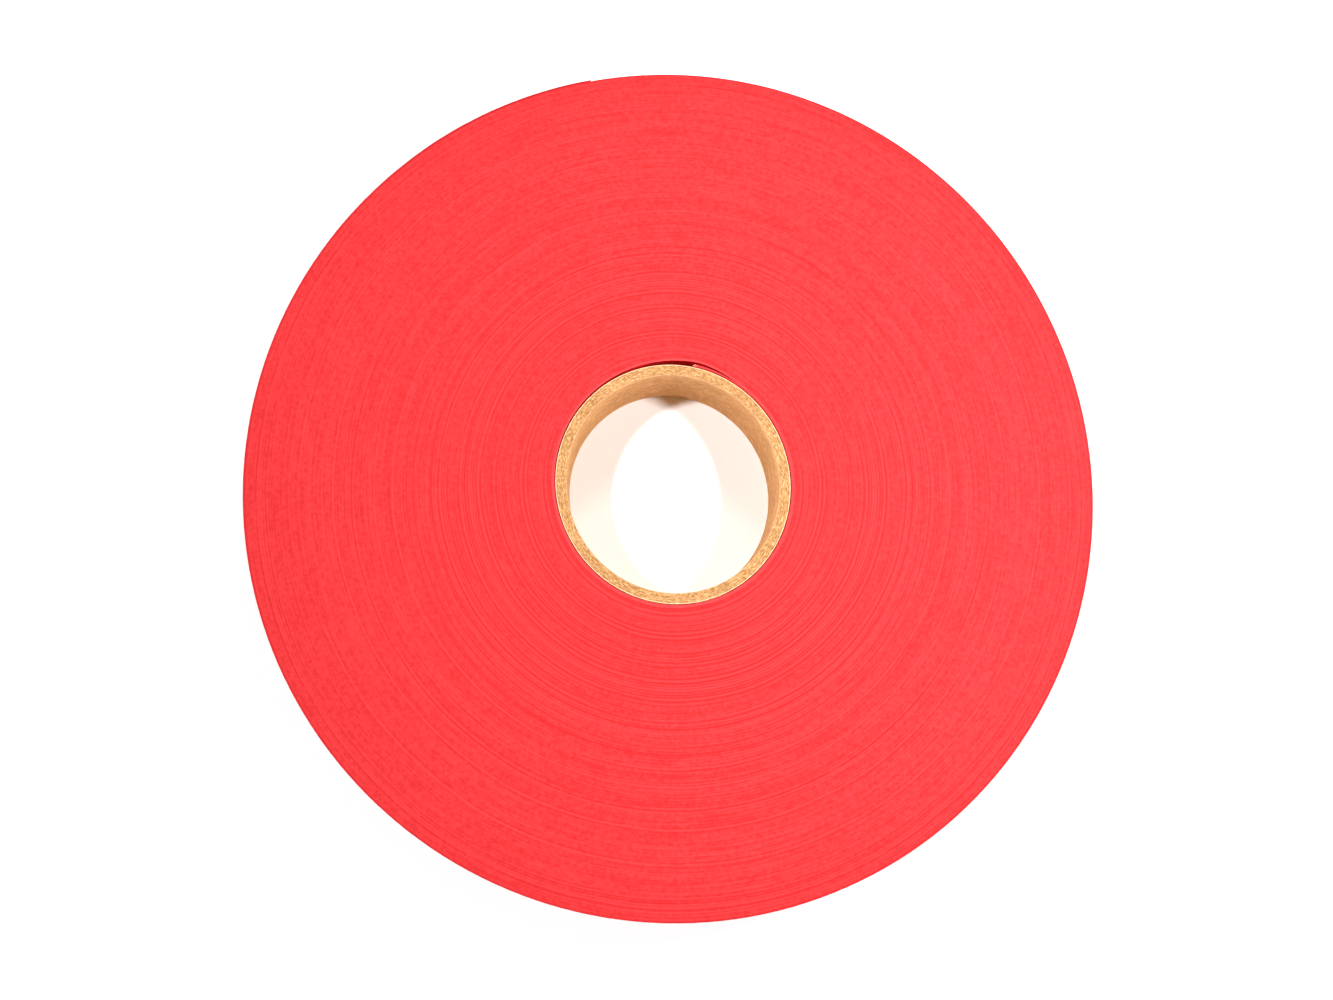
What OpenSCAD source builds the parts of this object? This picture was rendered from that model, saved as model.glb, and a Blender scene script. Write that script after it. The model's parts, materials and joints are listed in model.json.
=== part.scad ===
// Long roll of vinyl electrical tape on a spiral-wound paper core, lying flat.
// The origin is on the bore axis at the level the roll rests on, and +Z is up.
// Seen from above, the strip winds outwards clockwise, from its inner end on the
// core to the free tail on the outside. Angles are measured counter-clockwise from +X.

/* [Core] */
// Bore of the paper core
core_bore = 38.1; // [36:0.1:40]
// Thickness of one glued ply of paper
ply_thickness = 0.4; // [0.35:0.05:0.5]

/* [Strip] */
// Width of the strip, and so the height of the roll
strip_width = 19.05; // [12:0.05:25]
// Thickness of the vinyl film with its adhesive
film = 0.18; // [0.15:0.01:0.22]
// Outer diameter of the full roll
roll_diameter = 150; // [130:1:160]

/* [Inner end] */
// Direction in which the inner end of the strip is cut off
start_angle = 80.6; // [60:0.1:120]
// Arc over which the doubled inner end thins to a single film
fold_arc = 30; // [15:1:45]
// Arc over which the first turns come down onto the core past the inner end
crescent_arc = 130; // [100:1:160]
// Distance that the first turns stand off the core at the inner end
crescent_gap = 0.84; // [0.7:0.01:0.95]
// Play between the core and the first turn, all on the side of the inner end
core_play = 0.1; // [0.04:0.01:0.12]

/* [Outer end] */
// Direction of the cut outer end, the tip of the tail
tail_angle = 101.5; // [90:0.1:135]
// Length of the tail that can be lifted off the roll
tail_length = 36; // [24:1:48]
// Gap under the tail, where the adhesive has let go
tail_gap = 0.04; // [0.03:0.01:0.06]
// Hairline between two neighbouring stretches of the tail
tail_joint_gap = 0.05; // [0.03:0.01:0.08]

/* [Hidden] */
PLIES = ["core_liner", "core_ply_2", "core_ply_3", "core_ply_4", "core_outer_ply"];
STRETCHES = [for (i = [1:6]) str("wound_stretch_", i)];
TAIL = [for (i = [1:6]) str("tail_segment_", i)];

KRAFT = [0.87, 0.69, 0.49];
BOARD = [0.80, 0.63, 0.45];
RED = [0.95, 0.20, 0.22];

bore_radius = core_bore / 2;
core_radius = bore_radius + len(PLIES) * ply_thickness;
roll_radius = roll_diameter / 2;

// The first turns and the last turns are the two stretches whose outline isn't round.
first_turns_radius = core_radius + 8 * film;
tail_step = film + tail_gap;
last_turns_radius = roll_radius - tail_step - 5 * film;

tail_arc = tail_length / roll_radius * 180 / PI;
segment_arc = tail_arc / len(TAIL);
joint_arc = tail_joint_gap / roll_radius * 180 / PI;

// Where the single film of the strip's start runs on into the first turns.
start_arc = 360 - crescent_arc;

FINE = 720;
OUTLINE_STEP = 2;
SPILL = 1;

function polar(radius, angle) = [radius * cos(angle), radius * sin(angle)];

// A fall from 1 to 0 as t goes from 0 to 1, level at both ends.
function ease(t) = (1 + cos(180 * t)) / 2;

// A fall from 1 to 0 as t goes from 0 to 1, steep at first and level at the end.
function settle(t) = pow(1 - t, 3);

// Angles from a to b in equal steps near OUTLINE_STEP, both ends included.
function sweep(a, b) =
    let (steps = ceil(abs(b - a) / OUTLINE_STEP))
    [for (i = [0:steps]) a + (b - a) * i / steps];

// The play is all on the inner end's side, so the strip's seat is a little off the core's axis.
seat_radius = core_radius + core_play / 2;
seat_centre = polar(core_play / 2, start_angle);

// Distance from the core's axis to the strip's seat in a direction.
function seat(angle) = seat_radius + core_play / 2 * cos(angle - start_angle);

// Top of the strip's start, at an arc clockwise from the cut end: two films there, then one.
function start_top(arc) = seat(start_angle - arc) + film * (1 + ease(min(arc / fold_arc, 1)));

// Underside of the first turns where they pass over the start: clear of the fold, then on the film.
function over_start(arc) =
    start_top(arc) + (crescent_gap - core_play - 2 * film) * ease(min(arc / fold_arc, 1));

// Underside of the first turns from where they touch the core to where they lift off it again.
function over_core(arc) =
    seat(start_angle - arc) + (crescent_gap - core_play) * settle((360 - arc) / crescent_arc);

// Outline of the roll, at an arc counter-clockwise from the tail's tip.
function spiral(arc) = roll_radius - tail_step * arc / 360;

module ring(inner, outer) {
    difference() {
        cylinder(h = strip_width, r = outer, $fn = FINE);
        translate([0, 0, -SPILL])
            cylinder(h = strip_width + 2 * SPILL, r = inner, $fn = FINE);
    }
}

// The round seat of the strip around the core, as a cutter.
module seat_hole() {
    translate([seat_centre.x, seat_centre.y, -SPILL])
        cylinder(h = strip_width + 2 * SPILL, r = seat_radius, $fn = FINE);
}

// Paper plies of the core, counted from the bore outwards.
module core_ply(i) {
    is_skin = i == 0 || i == len(PLIES) - 1;
    inner = bore_radius + i * ply_thickness;
    color(is_skin ? KRAFT : BOARD) ring(inner, inner + ply_thickness);
}

// First film on the core, from the doubled cut end round to where the first turns touch down.
module strip_start() {
    arcs = sweep(0, start_arc);
    outside = [for (a = arcs) polar(start_top(a), start_angle - a)];
    inside = [for (a = [start_arc:-5:0]) polar(core_radius - SPILL, start_angle - a)];
    color(RED)
    difference() {
        linear_extrude(strip_width) polygon(concat(outside, inside));
        seat_hole();
    }
}

// Turns that bridge the cut inner end and leave the crescent gap beside it.
module first_turns() {
    bridge = [for (a = sweep(0, start_arc)) polar(over_start(a), start_angle - a)];
    crescent = [for (a = sweep(start_arc, 360)) polar(over_core(a), start_angle - a)];
    color(RED)
    difference() {
        cylinder(h = strip_width, r = first_turns_radius, $fn = FINE);
        translate([0, 0, -SPILL])
            linear_extrude(strip_width + 2 * SPILL) polygon(concat(bridge, crescent));
        seat_hole();
    }
}

// The body of the roll, in stretches that each hold the same length of strip.
function stretch_radius(i) =
    let (a = pow(first_turns_radius, 2), b = pow(last_turns_radius, 2))
    sqrt(a + (b - a) * i / len(STRETCHES));

module wound_stretch(i) {
    color(RED) ring(stretch_radius(i), stretch_radius(i + 1));
}

// Outermost turns: their outline drops back one step under the tail, from its root to its tip.
module last_turns() {
    wound = [for (a = sweep(tail_arc, 360)) polar(spiral(a), tail_angle + a)];
    under_tail = [for (a = sweep(0, tail_arc)) polar(roll_radius - tail_step, tail_angle + a)];
    color(RED)
    difference() {
        linear_extrude(strip_width) polygon(concat(wound, under_tail));
        translate([0, 0, -SPILL])
            cylinder(h = strip_width + 2 * SPILL, r = last_turns_radius, $fn = FINE);
    }
}

// One stretch of the free tail, counted from its root to its tip.
module tail_segment(i) {
    root_side = tail_angle + tail_arc - i * segment_arc;
    color(RED)
    rotate([0, 0, root_side - segment_arc])
    rotate_extrude(angle = segment_arc - joint_arc, $fn = FINE)
    translate([roll_radius - film, 0])
        square([film, strip_width]);
}

for (i = [0:len(PLIES) - 1])
    core_ply(i);
strip_start();
first_turns();
for (i = [0:len(STRETCHES) - 1])
    wound_stretch(i);
last_turns();
for (i = [0:len(TAIL) - 1])
    tail_segment(i);
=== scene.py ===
"""Looks of a long roll of red vinyl tape on a paper core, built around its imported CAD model.

Lengths are in metres, in the CAD model's frame: the roll lies on z = 0 around the Z axis.
A place on the strip is given in turns, counted along the strip from where its first film
starts to rise off the core. Seen from above, the strip winds outwards clockwise.
"""
import json
import math

import bmesh
import bpy
import numpy as np
from mathutils import Matrix, Vector


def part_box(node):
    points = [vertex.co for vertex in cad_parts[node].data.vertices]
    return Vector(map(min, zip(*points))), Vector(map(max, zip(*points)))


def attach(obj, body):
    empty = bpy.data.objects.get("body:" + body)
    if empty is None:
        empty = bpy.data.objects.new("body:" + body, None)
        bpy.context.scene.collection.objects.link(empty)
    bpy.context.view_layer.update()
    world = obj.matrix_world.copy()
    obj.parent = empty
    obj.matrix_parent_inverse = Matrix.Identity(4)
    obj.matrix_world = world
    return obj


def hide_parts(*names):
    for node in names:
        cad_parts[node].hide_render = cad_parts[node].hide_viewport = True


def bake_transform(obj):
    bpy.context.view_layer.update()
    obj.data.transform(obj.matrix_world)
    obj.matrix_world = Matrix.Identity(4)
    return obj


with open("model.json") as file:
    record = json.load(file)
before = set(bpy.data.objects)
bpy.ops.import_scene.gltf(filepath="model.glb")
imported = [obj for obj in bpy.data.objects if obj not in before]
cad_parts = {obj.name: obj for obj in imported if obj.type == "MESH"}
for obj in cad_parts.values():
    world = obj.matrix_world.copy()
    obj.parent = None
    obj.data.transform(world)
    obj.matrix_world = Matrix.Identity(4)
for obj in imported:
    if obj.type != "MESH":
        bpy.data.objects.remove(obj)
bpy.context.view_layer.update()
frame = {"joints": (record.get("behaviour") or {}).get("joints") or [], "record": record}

MM = 0.001
FULL_TURN = 360.0

# ---------------------------------------------------------------- sizes from the CAD model

PLIES = ["core_liner", "core_ply_2", "core_ply_3", "core_ply_4", "core_outer_ply"]
STRETCHES = [f"wound_stretch_{i}" for i in range(1, 7)]
TAIL = [f"tail_segment_{i}" for i in range(1, 7)]


def outer_radius(node):
    """Outer radius of a CAD node that goes all the way round the axis."""
    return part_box(node)[1].x


def mount(name):
    return next(m for m in frame["record"]["mounts"] if m["name"] == name)


def hinge_angle(name):
    """Direction of a tail hinge from the roll's axis, in degrees."""
    joint = next(j for j in frame["joints"] if j["name"] == name)
    return math.degrees(math.atan2(joint["pos_m"][1], joint["pos_m"][0]))


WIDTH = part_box("core_liner")[1].z
BORE_RADIUS = mount("core_bore")["dims"]["r_mm"] * MM
CORE_RADIUS = outer_radius("core_outer_ply")
ROLL_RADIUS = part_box("tail_segment_6")[1].to_2d().length
FIRST_TURNS_RADIUS = outer_radius("first_turns")
STRETCH_RADII = [outer_radius(name) for name in STRETCHES]
HINGES = [hinge_angle(f"tail_peel_{i}") for i in range(1, 7)]
SEGMENT_ARC = (HINGES[0] - HINGES[-1]) / (len(HINGES) - 1)
TAIL_ROOT = HINGES[0]
TAIL_TIP = HINGES[-1] - SEGMENT_ARC

# ---------------------------------------------------------------- the strip's path

FILM = 0.18 * MM
START_ANGLE = 80.6          # direction of the cut inner end
START_ARC = 230.0           # arc over which the first film lies alone on the core
CRESCENT_ARC = FULL_TURN - START_ARC
FOLD_ARC = 30.0             # arc over which the doubled inner end thins to one film
CORE_PLAY = 0.06 * MM       # play between core and tape, all on the inner end's side
PAPER_PLAY = 0.02 * MM      # play that is left all the way round
CRESCENT_LIFT = 0.78 * MM   # rise of the first turn where it passes over the inner end
FOLD_LIFT = CRESCENT_LIFT - FILM
SMOOTHING_TURNS = 34        # turns over which the bump above the inner end dies out
TAIL_LIFT = 0.04 * MM       # gap under the free tail

ZERO_ANGLE = START_ANGLE - START_ARC
STEPS = 192                 # steps of the mesh in one turn
TAIL_LABEL = 2              # turns added to the free tail's places, so that shaders can tell it


def ease(t):
    """A fall from 1 to 0 as t goes from 0 to 1, level at both ends."""
    return (1 + np.cos(math.pi * np.clip(t, 0, 1))) / 2


def settle(t):
    """A fall from 1 to 0 as t goes from 0 to 1, steep at first and level at the end."""
    return (1 - np.clip(t, 0, 1)) ** 4


def seat(arc):
    """Distance from the axis to the tape's seat on the core, at an arc past the inner end."""
    return CORE_RADIUS + PAPER_PLAY + CORE_PLAY / 2 * (1 + np.cos(np.radians(arc)))


def lift(turn):
    """Rise of the first turn above an even spiral, caused by the inner end under it."""
    around = turn % 1 * FULL_TURN
    before_end = around < CRESCENT_ARC
    arc = np.where(before_end, around + START_ARC, around - CRESCENT_ARC)
    over_gap = CRESCENT_LIFT * settle((CRESCENT_ARC - around) / CRESCENT_ARC)
    over_start = FILM + FOLD_LIFT * ease(arc / FOLD_ARC)
    rise = np.where(before_end, over_gap, over_start)
    return seat(arc) - SPIRAL_BASE + rise - FILM * around / FULL_TURN


def underside(turn):
    """Distance from the axis to the underside of the wound strip."""
    fading = np.clip((SMOOTHING_TURNS - turn) / (SMOOTHING_TURNS - 1), 0, 1)
    return SPIRAL_BASE + PITCH * turn + lift(turn) * fading


SPIRAL_BASE = seat(START_ARC)
ROOT_ARC = (ZERO_ANGLE - TAIL_ROOT) % FULL_TURN
SPIRAL_TOP = ROLL_RADIUS - TAIL_LIFT - FILM
TURNS = round((SPIRAL_TOP - SPIRAL_BASE) / FILM)
ROOT_TURN = TURNS + ROOT_ARC / FULL_TURN
TIP_TURN = ROOT_TURN + (TAIL_ROOT - TAIL_TIP) / FULL_TURN
PITCH = (SPIRAL_TOP - SPIRAL_BASE) / TIP_TURN


def turn_angle(turn):
    """Direction from the axis, in radians."""
    return np.radians(ZERO_ANGLE - turn * FULL_TURN)


OVAL = 0.383 * MM           # how far the wound roll and its core stand out along the longer axis
OVAL_ANGLE = 112.3          # direction of the longer axis
LOBES = 0.143 * MM          # three shallow lobes, which only the outer turns have
LOBES_ANGLE = 76.1          # direction of one lobe


def out_of_round(radius, angle):
    """How far the real roll stands outside the CAD model's circle in a direction."""
    outward = (radius - CORE_RADIUS) / (ROLL_RADIUS - CORE_RADIUS)
    oval = OVAL * np.cos(2 * (angle - math.radians(OVAL_ANGLE)))
    lobes = LOBES * np.cos(3 * (angle - math.radians(LOBES_ANGLE)))
    return oval + lobes * np.clip(outward, 0, 1)


def around_axis(radius, angle, height):
    """Points at a radius, a direction in radians and a height, as an array of x, y, z."""
    radius, angle, height = np.broadcast_arrays(radius, angle, height)
    radius = radius + out_of_round(radius, angle)
    return np.stack([radius * np.cos(angle), radius * np.sin(angle), height], axis=-1)


# ---------------------------------------------------------------- meshes

WELD = 1e-8                 # points closer than this are one point
SHARP = math.radians(48)    # an edge that turns more than this isn't shaded smooth


class Shell:
    """A closed mesh put together from grids of points that meet along their edges."""

    def __init__(self, name, materials):
        self.name = name
        self.materials = materials
        self.points = []
        self.values = []
        self.faces = []
        self.count = 0

    def add_points(self, points, values):
        """Numbers of new points. Each point carries one value, such as its turn."""
        points = np.asarray(points, float)
        values = np.broadcast_to(values, points.shape[:-1])
        numbers = self.count + np.arange(values.size).reshape(values.shape)
        self.points.append(points.reshape(-1, 3))
        self.values.append(values.ravel())
        self.count += values.size
        return numbers

    def grid(self, points, material=0, values=0.0):
        """Quads between neighbouring points of a grid that has rows and columns."""
        n = self.add_points(points, values)
        corners = [n[:-1, :-1], n[:-1, 1:], n[1:, 1:], n[1:, :-1]]
        self.faces.append((np.stack([c.ravel() for c in corners], axis=1), material))

    def cap(self, outline, material=0, values=0.0):
        """One flat face inside a closed outline."""
        self.faces.append((self.add_points(outline, values)[None, :], material))

    def build(self, value_name=None):
        """The Blender object, with the points that lie on each other joined."""
        points = np.concatenate(self.points)
        keys = np.round(points / WELD).astype(np.int64)
        _, first, join = np.unique(keys, axis=0, return_index=True, return_inverse=True)
        join = join.ravel()
        loops = np.concatenate([join[f].ravel() for f, _ in self.faces])
        totals = np.concatenate([np.full(len(f), f.shape[1]) for f, _ in self.faces])
        slots = np.concatenate([np.full(len(f), m) for f, m in self.faces])

        mesh = bpy.data.meshes.new(self.name)
        mesh.vertices.add(len(first))
        mesh.vertices.foreach_set("co", points[first].astype(np.float32).ravel())
        mesh.loops.add(len(loops))
        mesh.loops.foreach_set("vertex_index", loops.astype(np.int32))
        mesh.polygons.add(len(totals))
        starts = np.concatenate([[0], np.cumsum(totals)[:-1]])
        mesh.polygons.foreach_set("loop_start", starts.astype(np.int32))
        mesh.polygons.foreach_set("material_index", slots.astype(np.int32))
        for material in self.materials:
            mesh.materials.append(material)
        mesh.update(calc_edges=True)
        mesh.validate()
        if value_name:
            values = np.concatenate(self.values)[first].astype(np.float32)
            attribute = mesh.attributes.new(value_name, "FLOAT", "POINT")
            attribute.data.foreach_set("value", values)
        turn_faces_outwards(mesh)
        mesh.shade_smooth()
        mesh.set_sharp_from_angle(angle=SHARP)
        made = bpy.data.objects.new(self.name, mesh)
        bpy.context.scene.collection.objects.link(made)
        return made


def turn_faces_outwards(mesh):
    work = bmesh.new()
    work.from_mesh(mesh)
    bmesh.ops.recalc_face_normals(work, faces=work.faces)
    work.to_mesh(mesh)
    work.free()


def smooth_noise(random, count, knots):
    """A smooth closed line of random values from -1 to 1, through this many knots."""
    values = random.uniform(-1, 1, knots)
    at = np.arange(count) * knots / count
    low = at.astype(int)
    share = 1 - ease(at - low)
    return values[low] * (1 - share) + values[(low + 1) % knots] * share


# ---------------------------------------------------------------- materials


def add(tree, kind, inputs=None, **settings):
    """A new shader node. An input is given as a number or colour, or as another node's output."""
    made = tree.nodes.new("ShaderNode" + kind)
    for name, value in settings.items():
        setattr(made, name, value)
    for name, value in (inputs or {}).items():
        if isinstance(value, bpy.types.NodeSocket):
            tree.links.new(value, made.inputs[name])
        else:
            made.inputs[name].default_value = value
    return made


def calc(tree, operation, *values):
    """The result of one sum in the shader."""
    made = add(tree, "Math", operation=operation)
    for i, value in enumerate(values):
        if isinstance(value, bpy.types.NodeSocket):
            tree.links.new(value, made.inputs[i])
        else:
            made.inputs[i].default_value = value
    return made.outputs[0]


def vector(tree, x=0.0, y=0.0, z=0.0):
    return add(tree, "CombineXYZ", {"X": x, "Y": y, "Z": z}).outputs[0]


def noise(tree, at, scale, detail=2.0, roughness=0.5):
    """Cloudy noise around 0.5, at a 3-D place."""
    inputs = {"Vector": at, "Scale": scale, "Detail": detail, "Roughness": roughness}
    return add(tree, "TexNoise", inputs).outputs["Fac"]


def line_noise(tree, at, scale, detail=1.0):
    """Noise around 0.5 along a line."""
    inputs = {"W": at, "Scale": scale, "Detail": detail}
    return add(tree, "TexNoise", inputs, noise_dimensions="1D").outputs["Fac"]


def remap(tree, value, low, high, to_low=0.0, to_high=1.0, shape="SMOOTHSTEP"):
    """The value moved from one range into another, and kept inside it."""
    inputs = {
        "Value": value, "From Min": low, "From Max": high, "To Min": to_low, "To Max": to_high,
    }
    return add(tree, "MapRange", inputs, interpolation_type=shape).outputs["Result"]


def mix(tree, factor, a, b, blend="MIX"):
    """Two colours mixed by a factor, through the colour sockets of a Mix node."""
    made = add(tree, "Mix", data_type="RGBA", blend_type=blend)
    for socket, value in zip((made.inputs[0], made.inputs[6], made.inputs[7]), (factor, a, b)):
        if isinstance(value, bpy.types.NodeSocket):
            tree.links.new(value, socket)
        else:
            socket.default_value = value
    return made.outputs[2]


def new_material(name):
    """A material, its tree, its main shader and the place on the object."""
    material = bpy.data.materials.new(name)
    material.use_nodes = True
    tree = material.node_tree
    shader = tree.nodes["Principled BSDF"]
    return material, tree, shader, add(tree, "TexCoord").outputs["Object"]


def polar(tree, place):
    """Radius and direction in radians around the axis, and height."""
    parts = add(tree, "SeparateXYZ", {"Vector": place})
    x, y, z = parts.outputs
    flat = vector(tree, x, y)
    radius = add(tree, "VectorMath", {"Vector": flat}, operation="LENGTH").outputs["Value"]
    return radius, calc(tree, "ARCTAN2", y, x), z


def bump(tree, shader, height, strength, distance):
    inputs = {"Height": height, "Strength": strength, "Distance": distance}
    made = add(tree, "Bump", inputs)
    tree.links.new(made.outputs["Normal"], shader.inputs["Normal"])


DEEP_RED = (0.42, 0.011, 0.013, 1.0)
FILM_SHADE = (0.46, 0.0115, 0.0135, 1.0)
FILM_LIGHT = (0.58, 0.0180, 0.0205, 1.0)
PALE_RED = (0.72, 0.036, 0.040, 1.0)
PALER_FILM_RED = (0.72, 0.054, 0.056, 1.0)
HIGHLIGHT_PINK = (0.80, 0.22, 0.16, 1.0)
SLIT_DARK = (0.50, 0.0145, 0.0166, 1.0)
SLIT_LIGHT = (0.61, 0.0355, 0.0388, 1.0)
ADHESIVE_DARK = (0.30, 0.006, 0.007, 1.0)
ADHESIVE_LIGHT = (0.42, 0.010, 0.012, 1.0)
GLOW_RED = (0.90, 0.012, 0.006, 1.0)

CUT_END = -START_ARC / FULL_TURN
HIGHLIGHT_TURNS = 0.008                # turns at the cut inner end that carry a painted highlight
TIP = 0.006                 # turns at the tail's cut end that the cut has stretched pale
CLEAR_LINES_SIDE = 265.0          # direction in which the fine lines are clearest
LINE_WEIGHT = 8.5           # how much the fine lines of the slit edges change their shade


def red_side_material():
    """The strip's slit edges, thousands of fine lines side by side on the roll's flat faces."""
    material, tree, shader, place = new_material("red_slit_edges")
    radius, angle, _ = polar(tree, place)
    # The attribute "turn" is the place along the strip plus the share across the film.
    turn = add(tree, "Attribute", attribute_name="turn").outputs["Fac"]
    arc = calc(tree, "SUBTRACT", math.radians(ZERO_ANGLE), angle)
    around = calc(tree, "FRACT", calc(tree, "DIVIDE", arc, 2 * math.pi))
    lane = calc(tree, "SUBTRACT", turn, around)
    across = calc(tree, "FRACT", lane)
    along = calc(tree, "SUBTRACT", turn, across)

    # Each turn has its own shade, which changes along the strip slowly and in short dashes.
    # A number added to a place only keeps one noise apart from another.
    own_shade = line_noise(tree, along, 3.7)
    dashes = line_noise(tree, calc(tree, "ADD", along, 71.3), 31.0)
    # Turns slit together make fine lines, clearest in a few zones near the core.
    wander = noise(tree, place, 70.0, 1.0)
    lines = line_noise(tree, calc(tree, "MULTIPLY_ADD", wander, 2.5, turn), 0.46, 2.0)
    zones = calc(tree, "ADD", line_noise(tree, lane, 0.055), noise(tree, place, 45.0, 1.0))
    near_core = remap(tree, radius, ROLL_RADIUS * 0.50, ROLL_RADIUS * 0.66, 1.0, 0.30)
    # The fine lines get more contrast towards one direction.
    towards_clear_side = calc(tree, "COSINE", calc(tree, "SUBTRACT", angle, math.radians(CLEAR_LINES_SIDE)))
    clear = calc(tree, "MULTIPLY", remap(tree, zones, 0.84, 1.14, 0.2, 1.0), near_core)
    clear = calc(tree, "MULTIPLY", clear, calc(tree, "MULTIPLY_ADD", towards_clear_side, 0.45, 0.95))
    # The knife left a soft mottle, and the winding left wide bands.
    mottle = noise(tree, place, 1450.0, 2.5, 0.62)
    bands = line_noise(tree, calc(tree, "ADD", turn, 5.1), 0.085, 2.0)
    clouds = noise(tree, place, 24.0, 3.0)
    weights = ((own_shade, 1.0), (dashes, 1.0), (mottle, 2.7), (bands, 0.6), (clouds, 0.3))

    shade = calc(tree, "MULTIPLY", calc(tree, "SUBTRACT", lines, 0.5), clear)
    shade = calc(tree, "MULTIPLY_ADD", shade, LINE_WEIGHT, 0.5)
    for value, weight in weights:
        shade = calc(tree, "MULTIPLY_ADD", calc(tree, "SUBTRACT", value, 0.5), weight, shade)
    colour = mix(tree, remap(tree, shade, 0.0, 1.0, shape="LINEAR"), SLIT_DARK, SLIT_LIGHT)

    # The innermost films are paler: partly whitened by stretching, partly a painted highlight where
    # light catches their upper corners.
    stretch_and_highlight = remap(tree, turn, 0.5, 3.5, 0.85, 0.0)
    colour = mix(tree, stretch_and_highlight, colour, PALER_FILM_RED)
    # The grooves between turns hold a little painted shadow, and painted shade darkens the faces
    # towards the outer edge.
    groove = calc(tree, "ABSOLUTE", calc(tree, "SUBTRACT", across, 0.5))
    colour = mix(tree, remap(tree, groove, 0.34, 0.5, 0.0, 0.30), colour, DEEP_RED)
    rim_shade = remap(tree, radius, ROLL_RADIUS * 0.88, ROLL_RADIUS, 0.0, 0.14)
    colour = mix(tree, rim_shade, colour, DEEP_RED)
    # The cut inner end carries a painted highlight.
    cut_end_highlight = remap(tree, turn, CUT_END, CUT_END + HIGHLIGHT_TURNS, 0.9, 0.0)
    colour = mix(tree, cut_end_highlight, colour, HIGHLIGHT_PINK)
    # Painted shade makes the outermost turns the darkest, along the roll's outline.
    last_turns = remap(tree, turn, TIP_TURN - 2.2, TIP_TURN - 0.4, 0.0, 0.85)
    colour = mix(tree, last_turns, colour, DEEP_RED)

    tree.links.new(colour, shader.inputs["Base Color"])
    roughness = remap(tree, shade, 0.2, 0.8, 0.62, 0.74, "LINEAR")
    tree.links.new(roughness, shader.inputs["Roughness"])
    shader.inputs["Specular IOR Level"].default_value = 0.14
    bump(tree, shader, calc(tree, "ADD", mottle, dashes), 0.25, 0.02 * MM)
    return material


def red_film_material():
    """The calendered back of the film: satin, with faint stretch lines along the strip."""
    material, tree, shader, place = new_material("red_film_back")
    _, angle, height = polar(tree, place)
    length = calc(tree, "MULTIPLY", angle, ROLL_RADIUS)
    run = vector(tree, calc(tree, "MULTIPLY", length, 0.06), height)
    lines = noise(tree, run, 2400.0, 3.0)
    clouds = noise(tree, place, 90.0, 3.0)
    grain = noise(tree, place, 5200.0, 1.0)

    shade = calc(tree, "MULTIPLY_ADD", lines, 0.45, calc(tree, "MULTIPLY", clouds, 0.55))
    colour = mix(tree, remap(tree, shade, 0.32, 0.68), FILM_SHADE, FILM_LIGHT)
    # Handling has paled the film along both edges.
    from_middle = calc(tree, "ABSOLUTE", calc(tree, "SUBTRACT", height, WIDTH / 2))
    wear = calc(tree, "MULTIPLY", remap(tree, from_middle, WIDTH * 0.455, WIDTH * 0.5), clouds)
    colour = mix(tree, wear, colour, PALE_RED)
    # The cut end of the tail is stretched paler.
    turn = add(tree, "Attribute", attribute_name="turn").outputs["Fac"]
    tip = TIP_TURN + TAIL_LABEL
    colour = mix(tree, remap(tree, turn, tip - TIP, tip, 0.0, 0.8), colour, PALER_FILM_RED)

    tree.links.new(colour, shader.inputs["Base Color"])
    tree.links.new(remap(tree, shade, 0.3, 0.7, 0.34, 0.46), shader.inputs["Roughness"])
    shader.inputs["Specular IOR Level"].default_value = 0.28
    bump(tree, shader, calc(tree, "MULTIPLY_ADD", lines, 0.7, grain), 0.22, 0.03 * MM)
    return material


def adhesive_material():
    """The rubber adhesive under the film: darker, glossy and blotched where it has let go."""
    material, tree, shader, place = new_material("red_adhesive")
    blotches = noise(tree, place, 420.0, 4.0, 0.62)
    strings = noise(tree, place, 3000.0, 2.0)
    shade = calc(tree, "MULTIPLY_ADD", strings, 0.3, calc(tree, "MULTIPLY", blotches, 0.7))
    colour = mix(tree, remap(tree, shade, 0.40, 0.62), ADHESIVE_DARK, ADHESIVE_LIGHT)
    tree.links.new(colour, shader.inputs["Base Color"])
    tree.links.new(remap(tree, shade, 0.38, 0.64, 0.30, 0.60), shader.inputs["Roughness"])
    shader.inputs["Specular IOR Level"].default_value = 0.12
    # A faint red glow, painted light that stands in for light the vinyl lets through from its edges,
    # brightens the shaded adhesive side.
    shader.inputs["Emission Color"].default_value = GLOW_RED
    shader.inputs["Emission Strength"].default_value = 0.13
    bump(tree, shader, shade, 0.5, 0.05 * MM)
    return material


KRAFT_LIGHT = (0.72, 0.405, 0.168, 1.0)
KRAFT_DARK = (0.44, 0.215, 0.074, 1.0)
BOARD_LIGHT = (0.57, 0.318, 0.130, 1.0)
BOARD_DARK = (0.27, 0.120, 0.037, 1.0)
KRAFT_FLECK = (0.16, 0.075, 0.030, 1.0)
KRAFT_SHADOW = (0.10, 0.050, 0.022, 1.0)
KRAFT_PALE = (0.86, 0.62, 0.38, 1.0)


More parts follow.
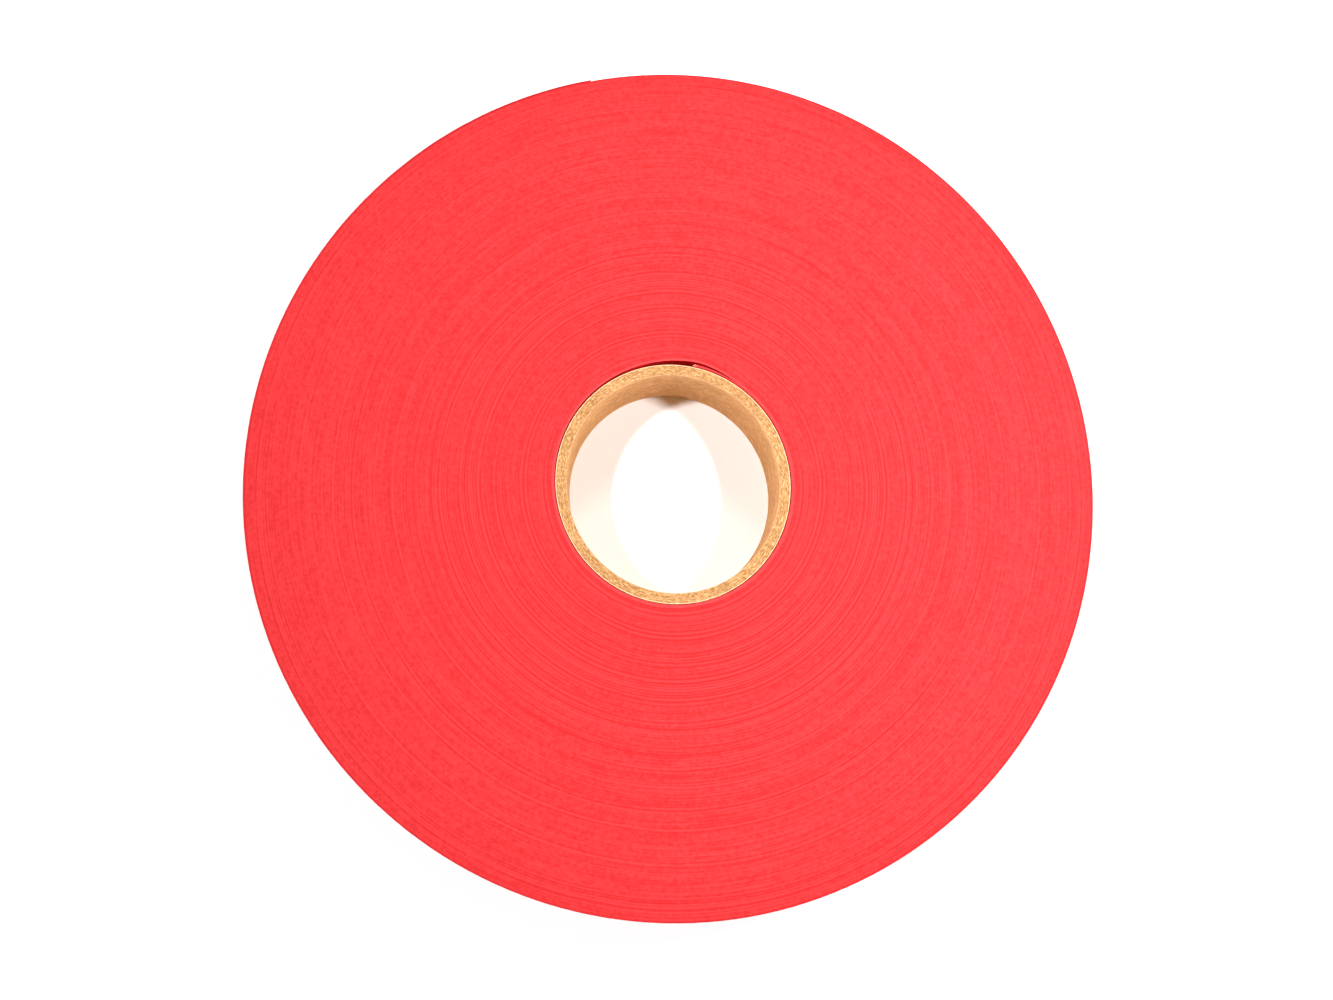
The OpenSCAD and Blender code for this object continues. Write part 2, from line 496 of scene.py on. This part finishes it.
def paper_material(name, light, dark, along, fleck):
    """Kraft paper: fine fibres along the winding, dark flecks and a little fuzz.

    A fibre's length is its width divided by the number "along". The point attribute read below pales
    the paper where it is above zero and paints shadow on it below zero."""
    material, tree, shader, place = new_material(name)
    radius, angle, height = polar(tree, place)
    length = calc(tree, "MULTIPLY", angle, CORE_RADIUS)
    run = vector(tree, calc(tree, "MULTIPLY", length, along), height, radius)
    fibres = noise(tree, run, 6500.0, 2.0, 0.60)
    pulp = noise(tree, run, 4200.0, 2.0, 0.65)
    clouds = noise(tree, place, 260.0, 3.0)
    short_run = vector(tree, calc(tree, "MULTIPLY", length, 0.5), height, radius)
    flecks = noise(tree, short_run, 2600.0, 1.0)

    shade = calc(tree, "MULTIPLY_ADD", fibres, 0.40, calc(tree, "MULTIPLY", clouds, 0.15))
    shade = calc(tree, "MULTIPLY_ADD", pulp, 0.45, shade)
    colour = mix(tree, remap(tree, shade, 0.38, 0.62), dark, light)
    colour = mix(tree, remap(tree, pulp, 0.58, 0.72, 0.0, 0.55), colour, KRAFT_PALE)
    colour = mix(tree, remap(tree, flecks, 0.68, 0.76, 0.0, fleck), colour, KRAFT_FLECK)

    tone_and_shade = add(tree, "Attribute", attribute_name="tone_and_shade").outputs["Fac"]
    colour = mix(tree, remap(tree, tone_and_shade, 0.0, 1.0, shape="LINEAR"), colour, KRAFT_PALE)
    colour = mix(tree, remap(tree, tone_and_shade, 0.0, -1.0, shape="LINEAR"), colour, KRAFT_SHADOW)
    tree.links.new(colour, shader.inputs["Base Color"])
    tree.links.new(remap(tree, shade, 0.3, 0.7, 0.78, 0.94), shader.inputs["Roughness"])
    shader.inputs["Specular IOR Level"].default_value = 0.15
    bump(tree, shader, fibres, 0.5, 0.05 * MM)
    return material


FLOOR_DARK = (0.90, 0.90, 0.90, 1.0)
FLOOR_LIGHT = (0.93, 0.93, 0.93, 1.0)


def floor_material():
    """Plain pale studio floor."""
    material, tree, shader, place = new_material("pale_floor")
    soft = noise(tree, place, 3.0, 1.0)
    colour = mix(tree, soft, FLOOR_DARK, FLOOR_LIGHT)
    tree.links.new(colour, shader.inputs["Base Color"])
    shader.inputs["Roughness"].default_value = 0.9
    shader.inputs["Specular IOR Level"].default_value = 0.1
    return material


SIDE = red_side_material()
BACK = red_film_material()
ADHESIVE = adhesive_material()
KRAFT = paper_material("kraft_paper", KRAFT_LIGHT, KRAFT_DARK, 0.20, 0.35)
BOARD_CUT = paper_material("board_cut_edge", BOARD_LIGHT, BOARD_DARK, 0.32, 0.45)

# ---------------------------------------------------------------- paper core

PLY_STEPS = 360             # steps of the mesh round a ply
PLY_EDGE = 0.035 * MM       # bevel along each ply's edges, which leaves a hairline between plies
CUT_ROWS = 5                # rows of points across a ply's cut edge
WALL_ROWS = 13              # rows of points up a ply's wall
CUT_ROUGHNESS = 0.035 * MM  # how deep the knife left the fibres of the cut edge
LONG_FIBRES = 70            # bumps round a cut edge from the long and the short fibres
SHORT_FIBRES = 170
WALL_RIPPLE = 0.02 * MM     # unevenness of a ply's inner wall
WALL_RIPPLES = 26           # ripples once round it
RIM_CRUSH = 0.14 * MM       # how far the knife pressed the outer ply's edges inwards
RIM_TONE = 0.9              # how pale the cut edge is along the outside, and a third of it at the bore
SEAM_DEPTH = 0.16 * MM      # step down into the butt seam of the liner
SEAM_SLANT = 76.0           # how far round the seam runs from the lower to the upper face
SEAM_ANGLE = 205.0          # direction of the seam's foot
SEAM_STEPS = [2, 3]         # steps of the mesh, from the seam's direction, that the seam takes up
SEAM_SHADE = -0.55           # how dark the painted shadow in the seam's groove is


def cut_edge(random, inner, outer, edge_height, inwards, angles):
    """The rough cut face of a ply: rows of points from its inner to its outer edge."""
    radii = np.linspace(inner, outer, CUT_ROWS)
    rows = []
    for i, radius in enumerate(radii):
        long_fibres = smooth_noise(random, PLY_STEPS, LONG_FIBRES)
        short_fibres = smooth_noise(random, PLY_STEPS, SHORT_FIBRES)
        depth = CUT_ROUGHNESS * (1 + 0.6 * long_fibres + 0.4 * short_fibres) / 2
        if i in (0, CUT_ROWS - 1):
            depth = depth + PLY_EDGE
        height = edge_height + inwards * np.append(depth, depth[0])
        rows.append(around_axis(radius, angles, height))
    return np.array(rows)


def ply(random, name, node, inner, outer, has_seam=False):
    """One wound ply of paper. The liner shows its helical butt seam in the bore."""
    shell = Shell(name, [KRAFT, BOARD_CUT])
    base = np.radians(SEAM_ANGLE) - np.linspace(0, 2 * math.pi, PLY_STEPS + 1)
    slant = np.radians(SEAM_SLANT) if has_seam else 0.0
    edge = outer - RIM_CRUSH if node == PLIES[-1] else outer
    lower = cut_edge(random, inner, edge, 0.0, 1, base)
    upper = cut_edge(random, inner, edge, WIDTH, -1, base + slant)

    groove = np.zeros(PLY_STEPS + 1)
    if has_seam:
        groove[SEAM_STEPS] = 1
    walls = []
    for radius, side in ((inner, 0), (outer, -1)):
        rows = [lower[side]]
        for share in np.linspace(0, 1, WALL_ROWS)[1:-1]:
            ripple = smooth_noise(random, PLY_STEPS, WALL_RIPPLES)
            ripple = WALL_RIPPLE * np.append(ripple, ripple[0])
            inside = (side == 0) * (groove * SEAM_DEPTH + np.abs(ripple))
            rows.append(around_axis(radius + inside, base + slant * share, WIDTH * share))
        rows.append(upper[side])
        walls.append(np.array(rows))

    tones = np.zeros(CUT_ROWS)
    if node == PLIES[0]:
        tones[0] = RIM_TONE / 3
    if node == PLIES[-1]:
        tones[-2:] = RIM_TONE
    shell.grid(lower, 1, tones[:, None])
    shell.grid(upper, 1, tones[:, None])
    # The seam's groove gets painted shadow.
    shell.grid(walls[0], 0, SEAM_SHADE * groove)
    shell.grid(walls[1], 0)
    made = shell.build("tone_and_shade")
    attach(made, "roll")
    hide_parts(node)


def paper_core():
    random = np.random.default_rng(11)
    inner = BORE_RADIUS
    for i, node in enumerate(PLIES):
        outer = outer_radius(node)
        ply(random, f"paper_ply_{i + 1}", node, inner, outer, has_seam=i == 0)
        inner = outer


# ---------------------------------------------------------------- inner end of the strip

BAND_EDGE = 0.03 * MM       # bevel of a single film's edges
BAND_ROWS = 9               # rows of points up a single film
FIRST_STEPS = 200           # points along the first film and along its fold
FOLD_STEPS = 60
FIRST_DROP = 0.06 * MM      # how far the first film's edges lie inside the roll's faces
FOLD_DROPS = (0.25 * MM, 0.10 * MM)     # the same for the fold's lower and upper edge
FOLD_START = 0.6            # arc from the film's cut end to the fold's
FOLD_STOP = 0.93            # share of the fold's arc after which it is too thin to show


def band(name, turns, under, over, materials, low=0.0, high=WIDTH, label=0):
    """A stretch of single film, closed all round, between two lines of radii.

    Materials are those of its back, its edges and its adhesive side, in that order. Its points
    carry their turn, moved on by the label."""
    shell = Shell(name, materials)
    angles = turn_angle(turns)
    values = turns + label
    heights = np.linspace(low + BAND_EDGE, high - BAND_EDGE, BAND_ROWS)
    bevel = np.minimum(BAND_EDGE, (over - under) / 3)
    inner = [around_axis(under + bevel, angles, low)]
    outer = [around_axis(over - bevel, angles, low)]
    for height in heights:
        inner.append(around_axis(under, angles, height))
        outer.append(around_axis(over, angles, height))
    inner.append(around_axis(under + bevel, angles, high))
    outer.append(around_axis(over - bevel, angles, high))
    inner, outer = np.array(inner), np.array(outer)

    shell.grid(outer[1:-1], 0, values)
    shell.grid(inner[1:-1], 2, values)
    for lower, upper in ((0, 1), (-2, -1)):
        shell.grid(outer[[lower, upper]], 1, values)
        shell.grid(inner[[lower, upper]], 1, values)
    for level in (0, -1):
        shell.grid(np.array([inner[level], outer[level]]), 1, values)
    for end in (0, -1):
        shell.grid(np.stack([inner[:, end], outer[:, end]]), 1, values[end])
    return shell.build("turn")


def inner_end():
    """The first film on the core, and the short fold that doubles its cut end."""
    arcs = np.linspace(0, START_ARC, FIRST_STEPS)
    turns = (arcs - START_ARC) / FULL_TURN
    film = band("first_film", turns, seat(arcs), seat(arcs) + FILM, [BACK, SIDE, ADHESIVE],
                low=FIRST_DROP, high=WIDTH - FIRST_DROP)
    arcs = np.linspace(FOLD_START, FOLD_ARC * FOLD_STOP, FOLD_STEPS)
    turns = (arcs - START_ARC) / FULL_TURN
    under = seat(arcs) + FILM
    fold = band("folded_end", turns, under, under + FILM * ease(arcs / FOLD_ARC),
                [BACK, SIDE, ADHESIVE], low=FOLD_DROPS[0], high=WIDTH - FOLD_DROPS[1])
    for piece in (film, fold):
        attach(piece, "roll")
        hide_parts("strip_start")


# ---------------------------------------------------------------- the wound roll

FACE_PLAY = 0.06 * MM       # how far below the faces' plane the lowest turns lie
GROOVE = 0.022 * MM         # depth of the groove between two turns
EDGE_TILT = 0.012 * MM      # how far the corners of a slit edge stand above and below its middle
CORNERS = (0.20, 0.80)      # where a turn's slit edge begins and ends, in parts of a film
SEAT_ROWS = 3               # rows of points up a wall between two stretches
OUTER_ROWS = 15             # rows of points up the roll's outer wall
OUTER_WAVE = 0.035 * MM     # unevenness of the outermost film


class RollFace:
    """The relief of one flat face: how deep each step of the strip's edge lies in it."""

    def __init__(self, seed):
        random = np.random.default_rng(seed)
        count = STEPS * (TURNS + 3)
        shared = smooth_noise(random, count, TURNS // 11)
        grouped = smooth_noise(random, count, TURNS // 3)
        own = smooth_noise(random, count, TURNS * 3)
        short = smooth_noise(random, count, TURNS * 13)
        level = 0.25 * shared + 0.35 * grouped + 0.20 * own + 0.20 * short
        self.depth = FACE_PLAY * (1 - level) / 2
        self.tilt = EDGE_TILT * smooth_noise(random, count, TURNS * 4)

    def profile(self, step):
        """Depths of a turn's inner groove and two corners at these steps of the strip."""
        here = self.depth[step]
        inside = self.depth[np.maximum(step - STEPS, 0)]
        groove = np.maximum(here, inside) + GROOVE
        return groove, here + self.tilt[step], here - self.tilt[step]


UPPER_FACE = RollFace(23)
LOWER_FACE = RollFace(29)


def face_rows(face, height, inwards, start, stop):
    """Points across one turn at each step: its inner groove, two corners and outer groove."""
    step = np.arange(start, stop + 1)
    turn = step / STEPS
    angle = turn_angle(turn)
    low, high = underside(turn), underside(turn + 1)
    groove, near, far = face.profile(step)
    outer_groove = face.profile(step + STEPS)[0]
    shares = (0.0, *CORNERS, 1.0)
    depths = (groove, near, far, outer_groove)
    rows = [around_axis(low + (high - low) * share, angle, height + inwards * np.maximum(depth, 0))
            for share, depth in zip(shares, depths)]
    return np.array(rows), np.array([turn + share for share in shares])


def groove_line(face, height, inwards, start):
    """The groove that runs once round the roll from a step of the strip."""
    step = np.arange(start, start + STEPS + 1)
    turn = step / STEPS
    depth = face.profile(step)[0]
    return around_axis(underside(turn), turn_angle(turn), height + inwards * depth), turn


def wall_rows(start, rows, wave):
    """The wall below a groove, from the lower face to the upper one."""
    lower, turn = groove_line(LOWER_FACE, 0.0, 1, start)
    upper, _ = groove_line(UPPER_FACE, WIDTH, -1, start)
    angle = turn_angle(turn)
    around = 2 * math.pi * turn
    made = [lower]
    for share in np.linspace(0, 1, rows)[1:-1]:
        # Two waves that run round the wall and slant opposite ways up it.
        swell = np.sin(3 * around + 4 * share) * np.sin(7 * around - 9 * share)
        inside = wave * math.sin(math.pi * share) * (swell + 1) / 2
        made.append(around_axis(underside(turn) - inside, angle, WIDTH * share))
    made.append(upper)
    return np.array(made), turn


def wound_strip(name, node, start, stop, outer_rows=SEAT_ROWS, wave=0.0):
    """The strip between two of its steps, wound turn on turn into one closed solid."""
    shell = Shell(name, [SIDE, BACK, ADHESIVE])
    upper, values = face_rows(UPPER_FACE, WIDTH, -1, start, stop)
    lower, _ = face_rows(LOWER_FACE, 0.0, 1, start, stop)
    inner_wall, inner_turn = wall_rows(start, SEAT_ROWS, 0.0)
    outer_wall, outer_turn = wall_rows(stop, outer_rows, wave)
    for rows in (upper, lower):
        for i in range(len(rows) - 1):
            shell.grid(rows[i:i + 2], 0, values[i:i + 2])
    shell.grid(inner_wall, 2, inner_turn)
    shell.grid(outer_wall, 1, outer_turn)
    for wall, end in ((inner_wall, 0), (outer_wall, -1)):
        outline = [wall[:, 0], upper[1:-1, end], wall[::-1, -1], lower[-2:0:-1, end]]
        shell.cap(np.concatenate(outline), 1, (start if end == 0 else stop) / STEPS)
    made = shell.build("turn")
    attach(made, "roll")
    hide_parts(node)
    return made


def step_at(radius):
    """The step that begins the whole turn nearest to a radius."""
    return STEPS * round((radius - SPIRAL_BASE) / PITCH)


ROOT_MARGIN = 3             # steps of the outermost film that the first tail piece takes over
LAST_STEP = math.floor(ROOT_TURN * STEPS) - ROOT_MARGIN


def wound_roll():
    first = step_at(FIRST_TURNS_RADIUS)
    wound_strip("first_turns_film", "first_turns", 0, first)
    start = first
    for i, radius in enumerate(STRETCH_RADII):
        stop = step_at(radius)
        wound_strip(f"wound_film_{i + 1}", STRETCHES[i], start, stop)
        start = stop
    wound_strip("last_turns_film", "last_turns", start, LAST_STEP, OUTER_ROWS, OUTER_WAVE)


# ---------------------------------------------------------------- the free tail

TAIL_STEPS = 14             # steps of the mesh in one tail piece, and twice that in the end ones
TAIL_DROP = 0.03 * MM       # how far the tail's edges lie inside the roll's faces


def tail_under(turn):
    """Underside of the outermost film, which lifts off the roll past the root."""
    past_root = np.clip((turn - ROOT_TURN) * FULL_TURN / SEGMENT_ARC, 0, 1)
    return underside(turn) + TAIL_LIFT * (1 - ease(past_root))


def on_rim(angle):
    """A point on the roll's outline, half way up."""
    return Vector(around_axis(ROLL_RADIUS, math.radians(angle), WIDTH / 2))


def free_tail():
    """Six pieces of film along the free tail, each centred on the direction of one hinge."""
    last = len(HINGES) - 1
    for i, hinge in enumerate(HINGES):
        start = ROOT_TURN + (i - 0.5) * SEGMENT_ARC / FULL_TURN if i > 0 else LAST_STEP / STEPS
        stop = ROOT_TURN + (i + 0.5) * SEGMENT_ARC / FULL_TURN if i < last else TIP_TURN
        steps = TAIL_STEPS * 2 if i in (0, last) else TAIL_STEPS
        turns = np.linspace(start, stop, steps + 1)
        under = tail_under(turns)
        piece = band(f"tail_film_{i + 1}", turns, under, under + FILM, [BACK, SIDE, ADHESIVE],
                     low=TAIL_DROP, high=WIDTH - TAIL_DROP, label=TAIL_LABEL)
        on_rim(hinge + SEGMENT_ARC / 2)
        on_rim(hinge - SEGMENT_ARC / 2)
        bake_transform(piece)
        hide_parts(TAIL[i])


# ---------------------------------------------------------------- floor, lights and camera

FLOOR_SIDE = 5.0
FLOOR_POINTS = 9            # points along each side


def pale_floor():
    half = FLOOR_SIDE / 2
    shell = Shell("floor", [floor_material()])
    across = np.linspace(-half, half, FLOOR_POINTS)
    x, y = np.meshgrid(across, across)
    shell.grid(np.stack([x, y, np.zeros_like(x)], axis=-1))
    shell.build()


def aimed(place, aim):
    """Placement of a camera or a light that looks from one point at another, with +Y upwards."""
    ahead = (Vector(aim) - Vector(place)).normalized()
    right = Vector((-ahead.z, 0, ahead.x)).normalized()
    up = right.cross(ahead)
    turned = Matrix((right, up, -ahead)).transposed().to_4x4()
    return Matrix.Translation(place) @ turned


KEY_LIGHT = (1.0, 0.983, 0.99)
SKY_LIGHT = (1.0, 0.94, 0.92, 1.0)
SKY_HEIGHTS = (0.35, 0.50)  # heights between which the surroundings fade, where straight up is 1
SKY_GLOW = (2.65, 0.03)     # how bright the surroundings are below and above those heights


def lamp(name, place, width, length, power, colour):
    """An oval light over the roll, whose length runs from the front to the back."""
    data = bpy.data.lights.new(name, "AREA")
    data.shape = "ELLIPSE"
    data.size = width
    data.size_y = length
    data.energy = power
    data.color = colour
    made = bpy.data.objects.new(name, data)
    bpy.context.scene.collection.objects.link(made)
    made.matrix_world = aimed(place, (0, 0, 0))


def sun(name, place, spread, strength, colour):
    """Parallel light from a direction, whose source looks as wide as this many degrees."""
    data = bpy.data.lights.new(name, "SUN")
    data.angle = math.radians(spread)
    data.energy = strength
    data.color = colour
    made = bpy.data.objects.new(name, data)
    bpy.context.scene.collection.objects.link(made)
    made.matrix_world = aimed(place, (0, 0, 0))


def studio():
    """Two narrow lights that cross over the bore, a weak soft one, and pale surroundings."""
    sun("key_left", (-0.98, 0.090, 2.20), spread=4.6, strength=2.66, colour=KEY_LIGHT)
    lamp("key_right", (0.110, 0.006, 0.20), 0.017, 0.028, power=0.445, colour=KEY_LIGHT)
    lamp("fill_back", (0.02, 0.20, 0.24), 0.08, 0.05, power=0.20, colour=KEY_LIGHT)
    world = bpy.data.worlds.new("studio")
    world.use_nodes = True
    tree = world.node_tree
    direction = add(tree, "TexCoord").outputs["Generated"]
    _, _, up = add(tree, "SeparateXYZ", {"Vector": direction}).outputs
    glow = remap(tree, up, *SKY_HEIGHTS, *SKY_GLOW, "LINEAR")
    tree.links.new(glow, tree.nodes["Background"].inputs["Strength"])
    tree.nodes["Background"].inputs["Color"].default_value = SKY_LIGHT
    bpy.context.scene.world = world
    bpy.context.scene.view_settings.view_transform = "Standard"
    bpy.context.scene.view_settings.look = "None"


CAMERA_PLACE = (-10.5 * MM, -34.0 * MM, 262.6 * MM)
CAMERA_AIM = (-1.2 * MM, -3.0 * MM, WIDTH)
CAMERA_LENS = 37.88         # focal length and sensor width, in mm
CAMERA_SENSOR = 36.0


def camera():
    data = bpy.data.cameras.new("camera")
    data.lens = CAMERA_LENS
    data.sensor_width = CAMERA_SENSOR
    data.clip_start = 0.01
    made = bpy.data.objects.new("camera", data)
    bpy.context.scene.collection.objects.link(made)
    made.matrix_world = aimed(CAMERA_PLACE, CAMERA_AIM)
    bpy.context.scene.camera = made


camera()
studio()
pale_floor()
paper_core()
inner_end()
wound_roll()
free_tail()
